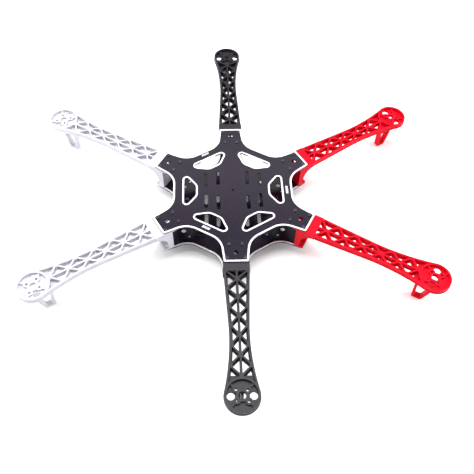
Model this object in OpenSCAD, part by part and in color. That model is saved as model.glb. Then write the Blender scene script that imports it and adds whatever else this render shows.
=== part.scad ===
// Airframe of a six-rotor drone: two circuit-board plates clamp six moulded lattice arms.
// The origin is on the floor under the centre of the hexagon, +Z is up, and the front arm points to -Y.
// Millimetres.

/* [Airframe] */
// Distance from the centre to each motor axis
motor_radius = 275; // [265:1:290]
// Height of the arms' top face above the floor
arm_top = 53.5; // [50:0.5:58]
// Distance between the two plates, which is the height of an arm's root
root_height = 36; // [33:0.5:38]

/* [Plates] */
// Thickness of the top and bottom plates
plate_t = 1.6; // [1.2:0.1:2.4]
// Distance from the centre to the straight edges between the lobes
edge_distance = 78.5; // [76:0.5:82]
// Distance from the centre to the end of each lobe
lobe_end = 111.5; // [110:0.5:114]
// Half of a lobe's width at its end
lobe_half = 15.2; // [14.8:0.1:16]
// How much the sides of a lobe open towards the centre, in degrees
lobe_flare = 6.5; // [4:0.5:8]
// Radius of the hollow curve between a lobe and a straight edge
edge_fillet = 25; // [20:1:28]
// Radius of the lobes' corners
lobe_corner = 1.8; // [1:0.2:3]
// Radius of the round hole in the middle of each lobe
lobe_hole_r = 3; // [2:0.1:3.4]
// Distance from the centre to the inner side of each window
window_in = 49; // [47:0.5:51]
// Distance from the centre to the outer side of each window
window_out = 63.6; // [62:0.2:66]
// Half of a window's outer side, before its corners are rounded
window_half_out = 26.8; // [25:0.2:28]
// Half of a window's inner side, before its corners are rounded
window_half_in = 8; // [6:0.5:9.5]
// Radius of the windows' sharp outer corners
window_corner_out = 2.8; // [2:0.2:3.4]
// Radius of the windows' blunt inner corners
window_corner_in = 9; // [6:0.5:10]
// Width of the strap slots
slot_w = 4.8; // [3:0.2:5.4]
// Radius of the hole at the centre of each plate
centre_hole_r = 1.5; // [1:0.1:4]

/* [Arms] */
// Distance from the centre to the arms' inner ends
root_in = 75; // [72:0.5:80]
// Distance from the centre to the tall part of the root
tall_in = 99.2; // [98:0.2:101]
// Distance from the centre to the first opening of the lattice
lattice_start = 123; // [120:0.5:125]
// Half of the root's width
root_half = 16; // [15:0.1:17]
// Distance from the centre to the narrowest place of an arm
waist_at = 205; // [198:1:212]
// Half of an arm's width at its narrowest place
waist_half = 11.3; // [10.5:0.1:12]
// How much an arm's sides close in from the root to the waist, in degrees
flank_angle = 3.1; // [2.6:0.1:3.4]
// Depth of the lattice beam
beam_depth = 7; // [6:0.5:8]
// Thickness of the beam's side walls
rail_w = 2.3; // [1.8:0.1:2.8]
// How far the lip along the beam's lower edge stands out
lip_out = 0.5; // [0.3:0.1:1]
// Height of that lip
lip_h = 1.8; // [1:0.1:2.5]
// Distance between the crossings of the lattice
lattice_pitch = 24; // [23:0.5:24.5]
// Width of the lattice ribs at their top and bottom edges
rib_w = 2.1; // [1.6:0.1:2.6]
// Width of the lattice ribs between their edges
rib_web = 1.2; // [0.8:0.1:1.5]
// How far the flange at the foot of the beam's walls and ribs reaches into the openings
foot_flange = 1.4; // [0.8:0.1:1.8]

/* [Motor mounts] */
// Radius of a motor mount
mount_r = 19.6; // [19.4:0.1:20.6]
// Width of the rim round a motor mount
mount_rim = 2.5; // [2:0.1:2.6]
// Depth of the sunk floor between the rim and the hub
mount_sink = 4; // [3:0.2:4.4]
// Thickness of that floor
mount_floor = 2.4; // [2:0.1:2.6]
// How far the hub lies below the rim
hub_drop = 1.4; // [0.6:0.2:2.4]
// Radius of the hole for the motor's shaft end
shaft_hole_r = 4.3; // [4:0.1:4.6]
// Radius of the two cooling holes beside the hub
side_hole_r = 4.4; // [4:0.1:4.6]
// Distance from the motor axis to each cooling hole
side_hole_at = 12.2; // [12:0.1:12.3]
// Distance between the closer pair of motor screw holes
motor_pcd_small = 16; // [15:0.5:16.5]
// Distance between the wider pair of motor screw holes
motor_pcd_large = 19; // [18:0.5:19.5]
// Radius of the motor screw holes, for M3 screws
motor_screw_r = 1.6; // [1.4:0.05:1.7]

/* [Legs] */
// Width of the leg's strap
leg_w = 7; // [6:0.5:10]
// Thickness of the leg's strap
leg_t = 3.6; // [3:0.2:4.2]
// Distance from the motor axis inwards to the heel of the foot
heel_in = 15; // [13:0.5:17]
// Distance from the motor axis inwards to the toe of the foot
toe_in = 2.5; // [1:0.5:5]
// How far the leg reaches outwards from the motor axis at its top
leg_top_out = 11; // [8:0.5:12.5]
// Height of the leg's opening above the floor at its top
leg_open_top = 23; // [18:1:30]

/* [Fasteners] */
// Radius of the screws' shanks, for M2.5 screws
screw_r = 1.25; // [1.2:0.05:1.25]
// Length of the screws under their heads
screw_len = 6; // [5:0.5:6.5]
// Radius of the screws' heads
head_r = 2.35; // [2.2:0.05:2.6]
// Height of the screws' heads
head_h = 1.5; // [1.3:0.1:1.8]
// Width of the hexagonal socket across its flats
socket_af = 1.5; // [1.3:0.1:1.8]
// Outer radius of the threaded brass inserts
insert_r = 2; // [1.8:0.1:2.2]
// Length of the threaded brass inserts
insert_len = 5; // [4.5:0.5:6]

/* [Power board] */
// Length of each solder pad for a speed controller
pad_l = 7; // [5:0.5:8]
// Width of each solder pad for a speed controller
pad_w = 4; // [3:0.5:5]
// Height of the solder on the pads
pad_h = 0.4; // [0.3:0.1:0.8]

/* [Hidden] */
$fn = 96;

// Directions of the six arms, in degrees from +X
front = -90;
rear = 90;
right_front = -30;
right_rear = 30;
left_front = 210;
left_rear = 150;
arm_count = 6;
sector = 360 / arm_count;
both = [-1, 1];

// Levels
root_bottom = arm_top - root_height;
beam_bottom = arm_top - beam_depth;
cut = 1;
// Overlap of a round with the line it touches, so that the two meet in one clean edge
seam = 0.005;

// Top screws: an inner and an outer pair on each lobe; bottom screws: the outer pair only
inner_screw = [85.8, 8.1];
outer_screw = [105.6, 11.1];
top_screw_spots = [for (s = both) [inner_screw.x, s * inner_screw.y],
    for (s = both) [outer_screw.x, s * outer_screw.y]];
bottom_screw_spots = [for (s = both) [outer_screw.x, s * outer_screw.y]];
screw_clearance = 0.15;
insert_bore = screw_r + 0.05;
lobe_hole_at = 98;

// Strap slots of the plates: distance of each column from the middle, and its two ends
slot_columns = [[19.5, 9, 32], [35.5, 6, 29]];

// Holes beside each arm in the bottom plate
cable_hole = [76, 0, 3];
tie_holes = [74, 11.5, 1.6];

// Solder pads on the bottom plate
controller_pad_at = [60, 17];
battery_pad_size = [10, 6];
battery_pad_at = [0, 47];

// Root of the arm
root_flange = 2.5;
root_wall = 2.4;
root_floor = 3;
root_toe = 111.5;
root_leg_out = 106.5;
arch_r = (beam_bottom - root_bottom) * 0.64;
arch_at = [root_leg_out + arch_r, beam_bottom - arch_r];
boss_r = insert_r + 1.6;
boss_len = insert_len + 3;
gusset_t = 2.4;
gusset_depth = 11;
flange_hole_r = lobe_hole_r + 2;
root_corner = 2;

// The arm's side: a circle tangent to the motor mount's circle, and a straight flank tangent to it
side_dx = motor_radius - waist_at;
side_r = (side_dx * side_dx + waist_half * waist_half - mount_r * mount_r) / (2 * (mount_r - waist_half));
side_centre = [waist_at, waist_half + side_r];
crossing_count = 6;
first_crossing = 134;
crossings = [for (k = [0 : crossing_count - 1]) first_crossing + k * lattice_pitch];
crossing_r = 2.5;
edge_blob_r = 2.2;
rib_edge_h = 1.5;
end_opening = [247.5, 6.5, 4.5, 5];

// Motor mount
hub_r = 6.9;
screw_boss_r = 3.9;
spoke_w = 2.2;
motor_screw_spots = [for (s = both) each [polar(s * motor_pcd_small / 2, 135),
    polar(s * motor_pcd_large / 2, 45)]];

// Leg
leg_web_t = 2.4;
foot_corner = 2.5;

// Half of the arm's width at a distance from the centre, along the straight flank
flank_start = waist_at - side_r * sin(flank_angle);
function flank_y(x, inset) = side_centre.y - (side_r + inset) * cos(flank_angle)
    + (waist_at - (side_r + inset) * sin(flank_angle) - x) * tan(flank_angle);

// Half of the arm's width beyond the flank
function side_y(x, inset) = side_centre.y - sqrt(pow(side_r + inset, 2) - pow(x - side_centre.x, 2));

function arm_half(x, inset) = x < flank_start ? min(root_half - inset, flank_y(x, inset)) : side_y(x, inset);

// Point at a radius and an angle
function polar(r, a) = [r * cos(a), r * sin(a)];

// Corner of two lines given by unit normals and distances
function meet(n1, d1, n2, d2) = let (det = n1.x * n2.y - n1.y * n2.x)
    [(d1 * n2.y - d2 * n1.y) / det, (n1.x * d2 - n2.x * d1) / det];

module round_arms() {
    for (k = [0 : arm_count - 1]) rotate(front + k * sector) children();
}

module slab(low, high) {
    translate([0, 0, low]) linear_extrude(high - low) children();
}

// Straight bar of a width between two points
module bar(from, to, width) {
    d = to - from;
    translate(from) rotate(atan2(d.y, d.x)) translate([0, -width / 2]) square([norm(d), width]);
}

// Convex polygon, anticlockwise, with rounded corners: one radius for all of them or one for each
module rounded(points, r) {
    n = len(points);
    radii = [for (i = [0 : n - 1]) is_num(r) ? r : r[i]];
    normals = [for (i = [0 : n - 1]) let (d = points[(i + 1) % n] - points[i]) [d.y, -d.x] / norm(d)];
    centres = [for (i = [0 : n - 1]) let (a = normals[(i + n - 1) % n], b = normals[i])
        meet(a, a * points[i] - radii[i], b, b * points[i] - radii[i])];
    polygon([for (i = [0 : n - 1]) each [centres[i] + normals[(i + n - 1) % n] * radii[i],
        centres[i] + normals[i] * radii[i]]]);
    for (i = [0 : n - 1]) translate(centres[i]) circle(radii[i] + seam);
}

module slot(from, to, width) {
    bar(from, to, width);
    for (p = [from, to]) translate(p) circle(width / 2);
}

// Plates

// Points of one lobe from its lower to its upper hollow corner, along +X
lobe_n = [sin(lobe_flare), cos(lobe_flare)];
lobe_d = lobe_n * [lobe_end, lobe_half];
hollow = meet(polar(1, sector / 2), edge_distance + edge_fillet, lobe_n, lobe_d + edge_fillet);
corner = meet([1, 0], lobe_end - lobe_corner, lobe_n, lobe_d - lobe_corner);
lobe_upper = [corner + [lobe_corner, 0], corner + lobe_n * lobe_corner, hollow - lobe_n * edge_fillet,
    hollow - polar(edge_fillet, sector / 2)];
lobe_points = [for (k = [3 : -1 : 0]) [lobe_upper[k].x, -lobe_upper[k].y], each lobe_upper];

function turned(p, a) = [p.x * cos(a) - p.y * sin(a), p.x * sin(a) + p.y * cos(a)];

module star() {
    difference() {
        union() {
            polygon([for (k = [0 : arm_count - 1], p = lobe_points) turned(p, front + k * sector)]);
            round_arms() for (s = both) translate([corner.x, s * corner.y]) circle(lobe_corner + seam);
        }
        round_arms() for (s = both) translate([hollow.x, s * hollow.y]) circle(edge_fillet + seam);
    }
}

module window() {
    rounded([[window_in, -window_half_in], [window_out, -window_half_out],
        [window_out, window_half_out], [window_in, window_half_in]],
        [window_corner_in, window_corner_out, window_corner_out, window_corner_in]);
}

module strap_slots() {
    for (c = slot_columns, sx = both, sy = both)
        slot([sx * c[0], sy * (c[1] + slot_w / 2)], [sx * c[0], sy * (c[2] - slot_w / 2)], slot_w);
}

module screw_holes(spots, r) {
    round_arms() for (p = spots) translate(p) circle(r);
}

module top_plate() {
    color("#2b2a33") slab(arm_top, arm_top + plate_t) difference() {
        star();
        round_arms() rotate(sector / 2) window();
        strap_slots();
        circle(centre_hole_r);
        screw_holes(top_screw_spots, screw_r + screw_clearance);
        screw_holes([[lobe_hole_at, 0]], lobe_hole_r);
    }
}

module bottom_plate() {
    color("#24232b") slab(root_bottom - plate_t, root_bottom) difference() {
        star();
        strap_slots();
        circle(centre_hole_r);
        screw_holes(bottom_screw_spots, screw_r + screw_clearance);
        screw_holes([[cable_hole[0], cable_hole[1]]], cable_hole[2]);
        screw_holes([for (s = both) [tie_holes[0], s * tie_holes[1]]], tie_holes[2]);
    }
}

module solder_pad(size) {
    slab(root_bottom, root_bottom + pad_h)
        rounded([[-size.x, -size.y] / 2, [size.x, -size.y] / 2, size / 2, [-size.x, size.y] / 2], size.y / 4);
}

module controller_solder_pads() {
    color("#b9bcc0") round_arms() for (s = both)
        translate([controller_pad_at.x, s * controller_pad_at.y]) solder_pad([pad_l, pad_w]);
}

module battery_solder_pads() {
    color("#b9bcc0") for (s = both)
        translate([battery_pad_at.x, s * battery_pad_at.y]) solder_pad(battery_pad_size);
}

// Arms, drawn along +X

// Outline of the beam and the motor mount, moved inwards by an inset
module arm_outline(inset = 0) {
    start = waist_at - (side_r + inset) * sin(flank_angle);
    toward = (side_centre - [motor_radius, 0]) / norm(side_centre - [motor_radius, 0]);
    touch = [motor_radius, 0] + toward * (mount_r - inset);
    full_at = start - (root_half - inset - flank_y(start, inset)) / tan(flank_angle);
    side = [[tall_in, root_half - inset], [full_at, root_half - inset],
        [start, flank_y(start, inset)], [start, touch.y], touch];
    difference() {
        union() {
            polygon([each side, for (k = [len(side) - 1 : -1 : 0]) [side[k].x, -side[k].y]]);
            translate([motor_radius, 0]) circle(mount_r - inset);
        }
        for (s = both) translate([side_centre.x, s * side_centre.y]) circle(side_r + inset + seam, $fn = 360);
    }
}

module span(x0, x1) {
    translate([x0, -2 * mount_r]) square([x1 - x0, 4 * mount_r]);
}

// Ribs of the lattice, seen from above
module lattice(width, spine_w) {
    mid = rail_w / 2;
    for (x = crossings, s = both, along = both) {
        tip_x = max(x + along * lattice_pitch / 2, lattice_start - mid);
        bar([x, 0], [tip_x, s * arm_half(tip_x, mid)], width);
    }
    bar([lattice_start - rail_w, 0], [motor_radius - mount_r + mount_rim, 0], spine_w);
}

module lattice_blobs() {
    for (x = crossings) translate([x, 0]) circle(crossing_r);
    for (k = [0 : crossing_count - 2], s = both) {
        x = crossings[k] + lattice_pitch / 2;
        translate([x, s * arm_half(x, rail_w)]) circle(edge_blob_r);
    }
}

module outside_mount() {
    difference() {
        span(lattice_start - rail_w, motor_radius);
        translate([motor_radius, 0]) circle(mount_r - mount_rim / 2);
    }
}

// Floor between the last ribs and the motor mount, with two small openings
module end_floor() {
    last = crossings[crossing_count - 1];
    tip = [last - lattice_pitch / 2, arm_half(last - lattice_pitch / 2, 0)];
    difference() {
        intersection() {
            arm_outline(rail_w / 2);
            outside_mount();
            polygon([[tip.x, -tip.y], [tip.x, -2 * mount_r], [motor_radius, -2 * mount_r],
                [motor_radius, 2 * mount_r], [tip.x, 2 * mount_r], tip, [last, 0]]);
        }
        for (s = both) translate([end_opening[0], s * (end_opening[1] + end_opening[3] / 2) - end_opening[3] / 2])
            square([end_opening[2], end_opening[3]]);
    }
}

module beam() {
    foot_top = beam_bottom + rib_edge_h;
    slab(beam_bottom, arm_top) intersection() {
        difference() {
            arm_outline();
            arm_outline(rail_w);
        }
        span(lattice_start - rail_w, motor_radius);
    }
    slab(beam_bottom, beam_bottom + lip_h) intersection() {
        difference() {
            arm_outline(-lip_out);
            arm_outline(rail_w);
        }
        span(arch_at.x, motor_radius + 2 * mount_r);
    }
    slab(beam_bottom, foot_top) {
        intersection() {
            difference() {
                arm_outline(rail_w / 2);
                arm_outline(rail_w + foot_flange);
            }
            outside_mount();
        }
        end_floor();
    }
    for (level = [[beam_bottom, foot_top, rib_w + 2 * foot_flange, rib_w * 1.5],
            [foot_top, arm_top - rib_edge_h, rib_web, rib_web], [arm_top - rib_edge_h, arm_top, rib_w, rib_w]])
        slab(level[0], level[1]) intersection() {
            lattice(level[2], level[3]);
            arm_outline(rail_w / 2);
            outside_mount();
        }
    slab(beam_bottom, arm_top) intersection() {
        lattice_blobs();
        arm_outline(rail_w / 2);
    }
}

// Hub of the motor mount and its four spokes, seen from above
module hub() {
    circle(hub_r);
    for (p = motor_screw_spots) translate(p) circle(screw_boss_r);
    for (a = [45 : 90 : 315]) bar([0, 0], polar(mount_r - mount_rim / 2, a), spoke_w);
}

module mount_holes() {
    circle(shaft_hole_r);
    for (p = motor_screw_spots) translate(p) circle(motor_screw_r);
    for (s = both) translate([0, s * side_hole_at]) circle(side_hole_r);
}

module motor_mount() {
    floor_top = arm_top - mount_sink;
    slab(beam_bottom, arm_top) difference() {
        circle(mount_r);
        circle(mount_r - mount_rim);
    }
    slab(floor_top - mount_floor, floor_top) circle(mount_r - mount_rim / 2);
    slab(floor_top - mount_floor, arm_top - hub_drop) hub();
}

// Side view of the root's walls, x along the arm and y up
module root_profile() {
    difference() {
        polygon([[tall_in, root_bottom], [arch_at.x, root_bottom], [arch_at.x, beam_bottom],
            [lattice_start, beam_bottom], [lattice_start, arm_top], [tall_in, arm_top]]);
        translate([root_leg_out, root_bottom - cut]) square([arch_r + cut, arch_at.y - root_bottom + cut]);
        translate(arch_at) circle(arch_r);
    }
}

// Turns a side view upright and gives it a thickness across the arm
module upright(thickness) {
    rotate([90, 0, 0]) translate([0, 0, -thickness / 2]) linear_extrude(thickness) children();
}

module root() {
    // Top flange with the four screw bosses, and its gussets
    slab(arm_top - root_flange, arm_top) difference() {
        rounded([[root_in, -root_half], [lattice_start, -root_half], [lattice_start, root_half],
            [root_in, root_half]], root_corner);
        span(lattice_start - root_corner, lattice_start + cut);
    }
    slab(arm_top - root_flange, arm_top) intersection() {
        arm_outline();
        span(lattice_start - 2 * root_corner, lattice_start);
    }
    for (s = both) translate([0, s * inner_screw.y]) upright(gusset_t)
        polygon([[root_in + root_corner, arm_top - root_flange], [tall_in + cut, arm_top - root_flange - gusset_depth],
            [tall_in + cut, arm_top - root_flange / 2], [root_in + root_corner, arm_top - root_flange / 2]]);
    // Side walls and the rib between them
    for (s = both) translate([0, s * (root_half - root_wall / 2)]) upright(root_wall) intersection() {
        root_profile();
        translate([tall_in, 0]) square([arch_at.x - cut - tall_in, arm_top]);
    }
    upright(root_wall) root_profile();
    // Inner end wall and bottom flange
    slab(root_bottom, arm_top - cut) translate([tall_in, -root_half]) square([root_wall, 2 * root_half]);
    slab(root_bottom, root_bottom + root_floor) rounded([[tall_in, -root_half], [root_toe, -root_half],
        [root_toe, root_half], [tall_in, root_half]], root_corner / 2);
    // Bosses round the inserts
    for (p = top_screw_spots) translate(p) slab(arm_top - boss_len, arm_top - root_flange / 2) circle(boss_r);
    for (p = bottom_screw_spots) translate(p) slab(root_bottom + cut, root_bottom + boss_len) circle(boss_r);
}

module insert_pockets() {
    for (p = top_screw_spots) translate(p) {
        slab(arm_top - insert_len, arm_top + cut) circle(insert_r);
        slab(arm_top - insert_len - cut, arm_top) circle(insert_bore);
    }
    for (p = bottom_screw_spots) translate(p) {
        slab(root_bottom - cut, root_bottom + insert_len) circle(insert_r);
        slab(root_bottom, root_bottom + insert_len + cut) circle(insert_bore);
    }
}

// Side view of the leg's strap, moved inwards by an inset, x from the motor axis and y up
function leg_corners(inset) = let (
        top = beam_bottom + cut,
        n_heel = [-cos(5), -sin(5)],
        slant = atan2(leg_top_out + toe_in, top),
        n_toe = [cos(slant), -sin(slant)],
        d_heel = n_heel * [-heel_in, 0] - inset,
        d_toe = n_toe * [-toe_in, 0] - inset)
    [meet(n_heel, d_heel, [0, -1], -inset), meet(n_toe, d_toe, [0, -1], -inset),
        meet(n_toe, d_toe, [0, 1], top), meet(n_heel, d_heel, [0, 1], top)];

module leg() {
    upright(leg_w) difference() {
        rounded(leg_corners(0), foot_corner);
        rounded(leg_corners(leg_t), foot_corner / 2);
    }
    upright(leg_web_t) intersection() {
        rounded(leg_corners(leg_t / 2), foot_corner);
        translate([-2 * mount_r, leg_open_top]) square([4 * mount_r, beam_bottom + cut - leg_open_top]);
    }
}

module arm(angle) {
    rotate(angle) difference() {
        union() {
            root();
            beam();
            translate([motor_radius, 0]) motor_mount();
            translate([motor_radius, 0]) leg();
        }
        insert_pockets();
        slab(arm_top - root_flange - cut, arm_top + cut) translate([lobe_hole_at, 0]) circle(flange_hole_r);
        translate([motor_radius, 0]) slab(beam_bottom - cut, arm_top + cut) mount_holes();
    }
}

module black_arm(angle) color("#33323a") arm(angle);
module red_arm(angle) color("#e8233a") arm(angle);
module white_arm(angle) color("#f4f2f8") arm(angle);

// Fasteners

// Socket screw standing on its shank's end, the underside of its head at zero
module screw() {
    difference() {
        union() {
            slab(0, head_h * 0.45) circle(head_r);
            slab(head_h * 0.45, head_h) circle(head_r - 0.35);
            slab(-screw_len, 0.1) circle(screw_r);
        }
        slab(head_h * 0.3, head_h + cut) circle(socket_af / 2 / cos(30), $fn = 6);
    }
}

module top_screws(angle) {
    color("#3a3a40") rotate(angle) for (p = top_screw_spots)
        translate([p.x, p.y, arm_top + plate_t]) screw();
}

module bottom_screws(angle) {
    color("#3a3a40") rotate(angle) for (p = bottom_screw_spots)
        translate([p.x, p.y, root_bottom - plate_t]) mirror([0, 0, 1]) screw();
}

module insert() {
    linear_extrude(insert_len) difference() {
        circle(insert_r);
        circle(insert_bore);
    }
}

module top_inserts(angle) {
    color("#c9a045") rotate(angle) for (p = top_screw_spots)
        translate([p.x, p.y, arm_top - insert_len]) insert();
}

module bottom_inserts(angle) {
    color("#c9a045") rotate(angle) for (p = bottom_screw_spots)
        translate([p.x, p.y, root_bottom]) insert();
}

top_plate();
bottom_plate();
controller_solder_pads();
battery_solder_pads();
black_arm(front);  // arm_front
black_arm(rear);  // arm_rear
red_arm(right_front);  // arm_right_front
red_arm(right_rear);  // arm_right_rear
white_arm(left_front);  // arm_left_front
white_arm(left_rear);  // arm_left_rear
top_screws(front);  // top_screws_front
top_screws(rear);  // top_screws_rear
top_screws(right_front);  // top_screws_right_front
top_screws(right_rear);  // top_screws_right_rear
top_screws(left_front);  // top_screws_left_front
top_screws(left_rear);  // top_screws_left_rear
bottom_screws(front);  // bottom_screws_front
bottom_screws(rear);  // bottom_screws_rear
bottom_screws(right_front);  // bottom_screws_right_front
bottom_screws(right_rear);  // bottom_screws_right_rear
bottom_screws(left_front);  // bottom_screws_left_front
bottom_screws(left_rear);  // bottom_screws_left_rear
top_inserts(front);  // top_inserts_front
top_inserts(rear);  // top_inserts_rear
top_inserts(right_front);  // top_inserts_right_front
top_inserts(right_rear);  // top_inserts_right_rear
top_inserts(left_front);  // top_inserts_left_front
top_inserts(left_rear);  // top_inserts_left_rear
bottom_inserts(front);  // bottom_inserts_front
bottom_inserts(rear);  // bottom_inserts_rear
bottom_inserts(right_front);  // bottom_inserts_right_front
bottom_inserts(right_rear);  // bottom_inserts_right_rear
bottom_inserts(left_front);  // bottom_inserts_left_front
bottom_inserts(left_rear);  // bottom_inserts_left_rear
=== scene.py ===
"""Looks of the hexacopter airframe: materials, the plates' white print, floor, light and camera."""

import math

import bpy
from mathutils import Matrix, Vector


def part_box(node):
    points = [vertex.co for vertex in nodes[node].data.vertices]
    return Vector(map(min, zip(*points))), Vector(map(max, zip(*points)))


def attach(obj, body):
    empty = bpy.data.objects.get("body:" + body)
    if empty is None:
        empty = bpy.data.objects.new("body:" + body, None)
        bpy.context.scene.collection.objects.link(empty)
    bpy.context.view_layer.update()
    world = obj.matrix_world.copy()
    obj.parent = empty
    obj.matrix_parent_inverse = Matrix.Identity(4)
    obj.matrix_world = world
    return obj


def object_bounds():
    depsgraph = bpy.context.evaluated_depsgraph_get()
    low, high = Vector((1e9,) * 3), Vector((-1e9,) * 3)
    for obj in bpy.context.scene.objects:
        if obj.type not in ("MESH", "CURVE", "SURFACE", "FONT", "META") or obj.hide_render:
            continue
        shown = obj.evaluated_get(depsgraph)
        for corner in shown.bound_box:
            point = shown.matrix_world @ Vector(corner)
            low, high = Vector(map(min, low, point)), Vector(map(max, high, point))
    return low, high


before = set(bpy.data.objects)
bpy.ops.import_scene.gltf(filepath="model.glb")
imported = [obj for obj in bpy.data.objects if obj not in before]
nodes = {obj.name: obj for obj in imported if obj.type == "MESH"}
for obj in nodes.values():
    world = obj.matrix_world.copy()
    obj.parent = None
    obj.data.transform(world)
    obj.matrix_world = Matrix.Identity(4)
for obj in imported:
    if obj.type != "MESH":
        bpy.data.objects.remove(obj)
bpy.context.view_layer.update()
MM = 0.001
ARM_SLOTS = {"front": "arm_black", "rear": "arm_black", "right_front": "arm_red", "right_rear": "arm_red",
             "left_front": "arm_white", "left_rear": "arm_white"}


# Materials

def linear(r, g, b):
    """Colour from 0-255 sRGB values to linear RGBA."""
    def one(v):
        v /= 255
        return v / 12.92 if v <= 0.04045 else ((v + 0.055) / 1.055) ** 2.4
    return one(r), one(g), one(b), 1.0


class Tree:
    """A new material and short calls to add nodes to it."""

    def __init__(self, name):
        self.material = bpy.data.materials.new(name)
        self.material.use_nodes = True
        self.nodes = self.material.node_tree.nodes
        self.links = self.material.node_tree.links
        self.shader = self.nodes["Principled BSDF"]
        self.place = self.add("ShaderNodeTexCoord").outputs["Object"]

    def add(self, kind, **values):
        node = self.nodes.new(kind)
        for key, value in values.items():
            if hasattr(node, key):
                setattr(node, key, value)
            else:
                node.inputs[key.replace("_", " ")].default_value = value
        return node

    def link(self, out, into):
        self.links.new(out, into)

    def noise(self, scale, detail=3.0, roughness=0.5):
        node = self.add("ShaderNodeTexNoise", Scale=scale, Detail=detail, Roughness=roughness)
        self.link(self.place, node.inputs["Vector"])
        return node.outputs["Fac"]

    def between(self, value, low, high, from_low=0.3, from_high=0.7):
        """A number that runs from low to high as value does from from_low to from_high."""
        node = self.add("ShaderNodeMapRange")
        node.inputs["From Min"].default_value = from_low
        node.inputs["From Max"].default_value = from_high
        node.inputs["To Min"].default_value = low
        node.inputs["To Max"].default_value = high
        self.link(value, node.inputs["Value"])
        return node.outputs["Result"]

    def mix(self, value, a, b):
        node = self.add("ShaderNodeMix", data_type="RGBA")
        self.link(value, node.inputs[0])
        for k, c in ((6, a), (7, b)):
            if isinstance(c, tuple):
                node.inputs[k].default_value = c
            else:
                self.link(c, node.inputs[k])
        return node.outputs[2]

    def bump(self, *heights, strength=0.3, soft_edge=0.0):
        """Normal from one or more (height, distance in mm), over edges softened by a radius in mm."""
        normal = None
        if soft_edge:
            bevel = self.add("ShaderNodeBevel", samples=6)
            bevel.inputs["Radius"].default_value = soft_edge * MM
            normal = bevel.outputs["Normal"]
        for height, distance in heights:
            node = self.add("ShaderNodeBump")
            node.inputs["Strength"].default_value = strength
            node.inputs["Distance"].default_value = distance * MM
            self.link(height, node.inputs["Height"])
            if normal is not None:
                self.link(normal, node.inputs["Normal"])
            normal = node.outputs["Normal"]
        self.link(normal, self.shader.inputs["Normal"])

    def set(self, **values):
        for key, value in values.items():
            self.shader.inputs[key.replace("_", " ")].default_value = value


def nylon(name, lit, deep, rough, specular=0.5):
    """Moulded nylon: slightly blotchy colour, a fine spark-eroded grain and softened edges."""
    t = Tree(name)
    blotch = t.noise(45, 4)
    grain = t.noise(2600, 2)
    t.link(t.mix(t.between(blotch, 0.0, 1.0), deep, lit), t.shader.inputs["Base Color"])
    t.link(t.between(grain, rough - 0.06, rough + 0.08), t.shader.inputs["Roughness"])
    t.bump((grain, 0.02), (blotch, 0.05), strength=0.35, soft_edge=0.35)
    t.set(IOR=1.5, Specular_IOR_Level=specular)
    return t.material


def laminate(name, lit, deep):
    """Black solder mask on woven glass: the weave shows as a faint bump and mottling."""
    t = Tree(name)
    weave = []
    for axis in ("X", "Y"):
        wave = t.add("ShaderNodeTexWave", wave_type="BANDS", bands_direction=axis, wave_profile="SIN")
        wave.inputs["Scale"].default_value = 330
        wave.inputs["Distortion"].default_value = 1.2
        wave.inputs["Detail"].default_value = 1.0
        wave.inputs["Detail Scale"].default_value = 0.6
        t.link(t.place, wave.inputs["Vector"])
        weave.append(wave.outputs["Fac"])
    cloth = t.add("ShaderNodeMath", operation="MULTIPLY")
    t.link(weave[0], cloth.inputs[0])
    t.link(weave[1], cloth.inputs[1])
    cloud = t.noise(38, 5, 0.6)
    speck = t.noise(900, 2)
    t.link(t.mix(t.between(cloud, 0.0, 1.0), deep, lit), t.shader.inputs["Base Color"])
    t.link(t.between(speck, 0.22, 0.28), t.shader.inputs["Roughness"])
    t.bump((cloth.outputs["Value"], 0.03), (speck, 0.01), strength=0.2, soft_edge=0.2)
    t.set(IOR=1.5, Specular_IOR_Level=0.26)
    return t.material


def ink(name, bright, dull):
    """Printed white ink, thin in places."""
    t = Tree(name)
    cover = t.between(t.noise(260, 4), 0.0, 1.0, 0.25, 0.6)
    t.link(t.mix(cover, dull, bright), t.shader.inputs["Base Color"])
    t.link(t.between(t.noise(1500), 0.5, 0.7), t.shader.inputs["Roughness"])
    t.bump((t.noise(1800), 0.01), strength=0.3)
    return t.material


def metal(name, lit, deep, rough, soft_edge=0.15):
    """Plated or blackened metal with fine scratches and worn edges."""
    t = Tree(name)
    tarnish = t.noise(700, 4)
    fine = t.noise(6000, 2)
    t.link(t.mix(t.between(tarnish, 0.0, 1.0), deep, lit), t.shader.inputs["Base Color"])
    t.link(t.between(tarnish, rough - 0.06, rough + 0.08), t.shader.inputs["Roughness"])
    t.bump((fine, 0.008), strength=0.3, soft_edge=soft_edge)
    t.set(Metallic=1.0)
    return t.material


LOOKS = {
    "plate_laminate": laminate("plate_laminate", linear(24, 11, 34), linear(18, 8, 26)),
    "arm_black": nylon("arm_black", linear(22, 13, 28), linear(16, 9, 21), 0.54, specular=0.45),
    "arm_red": nylon("arm_red", linear(214, 6, 36), linear(202, 3, 28), 0.45, specular=0.08),
    "arm_white": nylon("arm_white", linear(208, 206, 213), linear(196, 193, 203), 0.45, specular=0.3),
    "screw_steel": metal("screw_steel", linear(92, 90, 97), linear(78, 76, 84), 0.18, 0.9),
    "insert_brass": metal("insert_brass", linear(212, 172, 88), linear(176, 136, 62), 0.35),
    "solder": metal("solder", linear(150, 150, 158), linear(120, 120, 130), 0.14, 0.3),
}
WHITE_INK = ink("white_ink", linear(250, 250, 252), linear(226, 224, 232))


def slot_of(node):
    if node.startswith("arm_"):
        return ARM_SLOTS[node[4:]]
    if "screws" in node:
        return "screw_steel"
    if "inserts" in node:
        return "insert_brass"
    return "solder" if "solder" in node else "plate_laminate"


for name, obj in nodes.items():
    obj.data.materials.clear()
    obj.data.materials.append(LOOKS[slot_of(name)])


# White print on the plates. Lengths in this part are millimetres.

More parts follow.
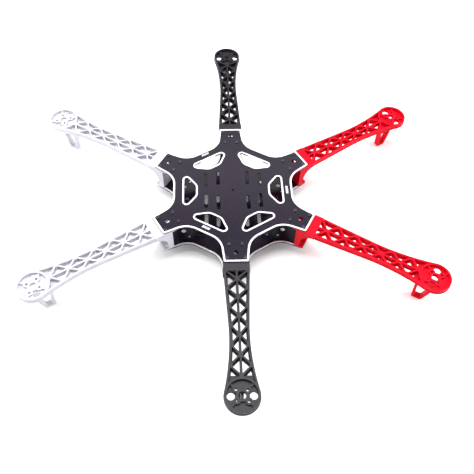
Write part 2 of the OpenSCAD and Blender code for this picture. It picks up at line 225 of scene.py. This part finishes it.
EDGE = 78.5
LOBE_END = 111.5
LOBE_HALF = 15.2
FLARE = math.radians(6.5)
FILLET = 25.0
CORNER = 1.8
WINDOW = ((49.0, -8.0), (63.6, -26.8), (63.6, 26.8), (49.0, 8.0))
WINDOW_CORNERS = (9.0, 2.8, 2.8, 9.0)
# Half of the printed ink's thickness; its middle lies in the plate's face
INK = 0.05
# Where the printed lines start and end, measured inwards from the plates' edge and outwards from a window's
EDGE_LINE = (0.25, 2.5)
WINDOW_LINE = (0.55, 2.7)


def along(angle, length=1.0):
    return Vector((math.cos(angle), math.sin(angle))) * length


def meet(n1, d1, n2, d2):
    det = n1.x * n2.y - n1.y * n2.x
    return Vector(((d1 * n2.y - d2 * n1.y) / det, (n1.x * d2 - n2.x * d1) / det))


def arc(centre, radius, start, end, count):
    return [centre + along(start + (end - start) * k / (count - 1), radius) for k in range(count)]


def star_outline(inset):
    """The plates' outline moved inwards. Every inset gives the same number of points."""
    n_side = Vector((math.sin(FLARE), math.cos(FLARE)))
    d_side = n_side.dot(Vector((LOBE_END, LOBE_HALF)))
    hollow = meet(along(math.pi / 6), EDGE + FILLET, n_side, d_side + FILLET)
    side_angle = math.atan2(n_side.y, n_side.x)
    if inset < CORNER:
        r = CORNER - inset
        tip = arc(meet(Vector((1, 0)), LOBE_END - CORNER, n_side, d_side - CORNER), r, 0, side_angle, 8)
    else:
        tip = [meet(Vector((1, 0)), LOBE_END - inset, n_side, d_side - inset)] * 8
    fillet = arc(hollow, FILLET + inset, side_angle + math.pi, math.pi * 7 / 6, 20)
    upper = tip + fillet
    lobe = [Vector((p.x, -p.y)) for p in reversed(upper)] + upper
    points = []
    for k in range(6):
        turn = Matrix.Rotation(math.radians(-90 + 60 * k), 2)
        points += [turn @ p for p in lobe]
    return points


def window_outline(angle, outset):
    """A window's outline moved outwards, round its corners."""
    corners = [Vector(p) for p in WINDOW]
    normals = []
    for k in range(4):
        d = (corners[(k + 1) % 4] - corners[k]).normalized()
        normals.append(Vector((d.y, -d.x)))
    points = []
    for k in range(4):
        a, b, r = normals[k - 1], normals[k], WINDOW_CORNERS[k]
        centre = meet(a, a.dot(corners[k]) - r, b, b.dot(corners[k]) - r)
        start = math.atan2(a.y, a.x)
        end = math.atan2(b.y, b.x)
        if end < start:
            end += 2 * math.pi
        points += arc(centre, r + outset, start, end, 12)
    turn = Matrix.Rotation(math.radians(angle), 2)
    return [turn @ p for p in points]


def add_mesh(name, verts, faces, material):
    mesh = bpy.data.meshes.new(name)
    mesh.from_pydata([tuple(c * MM for c in v) for v in verts], [], faces)
    mesh.materials.append(material)
    mesh.update()
    obj = bpy.data.objects.new(name, mesh)
    bpy.context.scene.collection.objects.link(obj)
    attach(obj, "root")
    return obj


def band(outer, inner, low, high):
    """Vertices and faces of a closed strip between two outlines, from a low to a high level."""
    n = len(outer)
    verts = [(p.x, p.y, z) for z in (low, high) for line in (outer, inner) for p in line]
    o_low, i_low, o_high, i_high = 0, n, 2 * n, 3 * n
    faces = []
    for k in range(n):
        j = (k + 1) % n
        faces += [(o_high + k, o_high + j, i_high + j, i_high + k),
                  (o_low + j, o_low + k, i_low + k, i_low + j),
                  (o_low + k, o_low + j, o_high + j, o_high + k),
                  (i_low + j, i_low + k, i_high + k, i_high + j)]
    return verts, faces


def merge(parts):
    verts, faces = [], []
    for v, f in parts:
        base = len(verts)
        verts += v
        faces += [tuple(i + base for i in face) for face in f]
    return verts, faces


top_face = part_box("top_plate")[1].z / MM
bottom_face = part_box("bottom_plate")[1].z / MM
star_out, star_in = (star_outline(inset) for inset in EDGE_LINE)
near, far = WINDOW_LINE
windows = [band(window_outline(a, far), window_outline(a, near), top_face - INK, top_face + INK)
           for a in range(0, 360, 60)]
verts, faces = merge([band(star_out, star_in, top_face - INK, top_face + INK)] + windows)
add_mesh("top_print", verts, faces, WHITE_INK)
verts, faces = band(star_out, star_in, bottom_face - INK, bottom_face + INK)
add_mesh("bottom_print", verts, faces, WHITE_INK)


def hatch(centre, angle, length, height, count, slant):
    """A row of slanted bars as solid blocks."""
    parts = []
    turn = Matrix.Rotation(math.radians(angle), 2)
    pitch = length / count
    for k in range(count):
        x = -length / 2 + pitch * k
        quad = [(x, -height / 2), (x + pitch * 0.55, -height / 2), (x + pitch * 0.55 + slant, height / 2),
                (x + slant, height / 2)]
        pts = [turn @ Vector(q) + Vector(centre) for q in quad]
        verts = [(p.x, p.y, z) for z in (top_face - INK, top_face + INK) for p in pts]
        faces = [(3, 2, 1, 0), (4, 5, 6, 7)] + [(i, (i + 1) % 4, 4 + (i + 1) % 4, 4 + i) for i in range(4)]
        parts.append((verts, faces))
    return merge(parts)


verts, faces = merge([hatch((71, -1), -90, 13, 3.2, 6, 1.0), hatch((-36, 63.5), 30, 11, 3.0, 5, 1.0),
                      hatch((-36, -60.5), -30, 11, 3.4, 5, 1.0)])
add_mesh("print_marks", verts, faces, WHITE_INK)


# Floor, light and camera

def floor_material():
    t = Tree("floor_paper")
    t.link(t.mix(t.between(t.noise(6, 3), 0.0, 1.0), linear(249, 249, 250), linear(252, 252, 252)),
           t.shader.inputs["Base Color"])
    t.link(t.between(t.noise(300), 0.75, 0.9), t.shader.inputs["Roughness"])
    t.bump((t.noise(900), 0.02), strength=0.1)
    t.set(Specular_IOR_Level=0.1, Emission_Color=(1, 1, 1, 1), Emission_Strength=0.12)
    return t.material


floor_mesh = bpy.data.meshes.new("floor")
half = 6.0
corners = [(-half, -half, 0), (half, -half, 0), (half, half, 0), (-half, half, 0)]
floor_mesh.from_pydata(corners, [], [(0, 1, 2, 3)])
floor_mesh.materials.append(floor_material())
floor = bpy.data.objects.new("floor", floor_mesh)
floor.location.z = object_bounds()[0].z - 0.0002
bpy.context.scene.collection.objects.link(floor)

world = bpy.data.worlds.new("studio")
bpy.context.scene.world = world
world.use_nodes = True
world.node_tree.nodes["Background"].inputs["Color"].default_value = (1, 1, 1, 1)
world.node_tree.nodes["Background"].inputs["Strength"].default_value = 0.3


def area_light(name, place, aim, size, radiance):
    """A soft box of a width and height in metres, facing a point. Radiance is what a mirror would show."""
    data = bpy.data.lights.new(name, "AREA")
    data.shape = "RECTANGLE"
    data.size, data.size_y = size
    data.energy = radiance * math.pi * size[0] * size[1]
    obj = bpy.data.objects.new(name, data)
    obj.location = place
    obj.rotation_euler = (Vector(aim) - Vector(place)).to_track_quat("-Z", "Y").to_euler()
    bpy.context.scene.collection.objects.link(obj)
    return obj


area_light("overhead", (-0.05, 0.16, 1.7), (0, 0, 0), (1.3, 0.75), 11.0)
area_light("left_box", (-1.5, -0.1, 0.9), (0, 0, 0), (1.2, 1.2), 5.0)
area_light("right_box", (1.5, -0.1, 0.9), (0, 0, 0), (1.2, 1.2), 5.0)
# The bright strip that the plates reflect; it only adds a reflection and no other light
strip = area_light("strip", (0, 1.6, 1.78), (0, 0, 0.055), (3.2, 0.45), 3.0)
strip.visible_diffuse = False

# The camera's azimuth, elevation and roll in degrees, the point it looks at in millimetres, at the height of
# the arms' top face, and its distance from there in metres
CAMERA_ANGLES = (-4.571, 55.159, 2.758)
CAMERA_AIM = (2.257, -74.488, 53.5)
CAMERA_DISTANCE = 0.7154
azimuth, elevation, roll = (math.radians(a) for a in CAMERA_ANGLES)
back = Vector((math.sin(azimuth) * math.cos(elevation), -math.cos(azimuth) * math.cos(elevation),
               math.sin(elevation)))
right = Vector((math.cos(azimuth), math.sin(azimuth), 0))
up = back.cross(right)
right_rolled = right * math.cos(roll) + up * math.sin(roll)
up_rolled = up * math.cos(roll) - right * math.sin(roll)
camera_data = bpy.data.cameras.new("camera")
camera_data.lens = 43.73
camera_data.sensor_width = 36
camera = bpy.data.objects.new("camera", camera_data)
bpy.context.scene.collection.objects.link(camera)
place = Vector(CAMERA_AIM) * MM + back * CAMERA_DISTANCE
camera.matrix_world = Matrix((right_rolled, up_rolled, back)).transposed().to_4x4()
camera.location = place
bpy.context.scene.camera = camera
bpy.context.scene.view_settings.view_transform = "Standard"
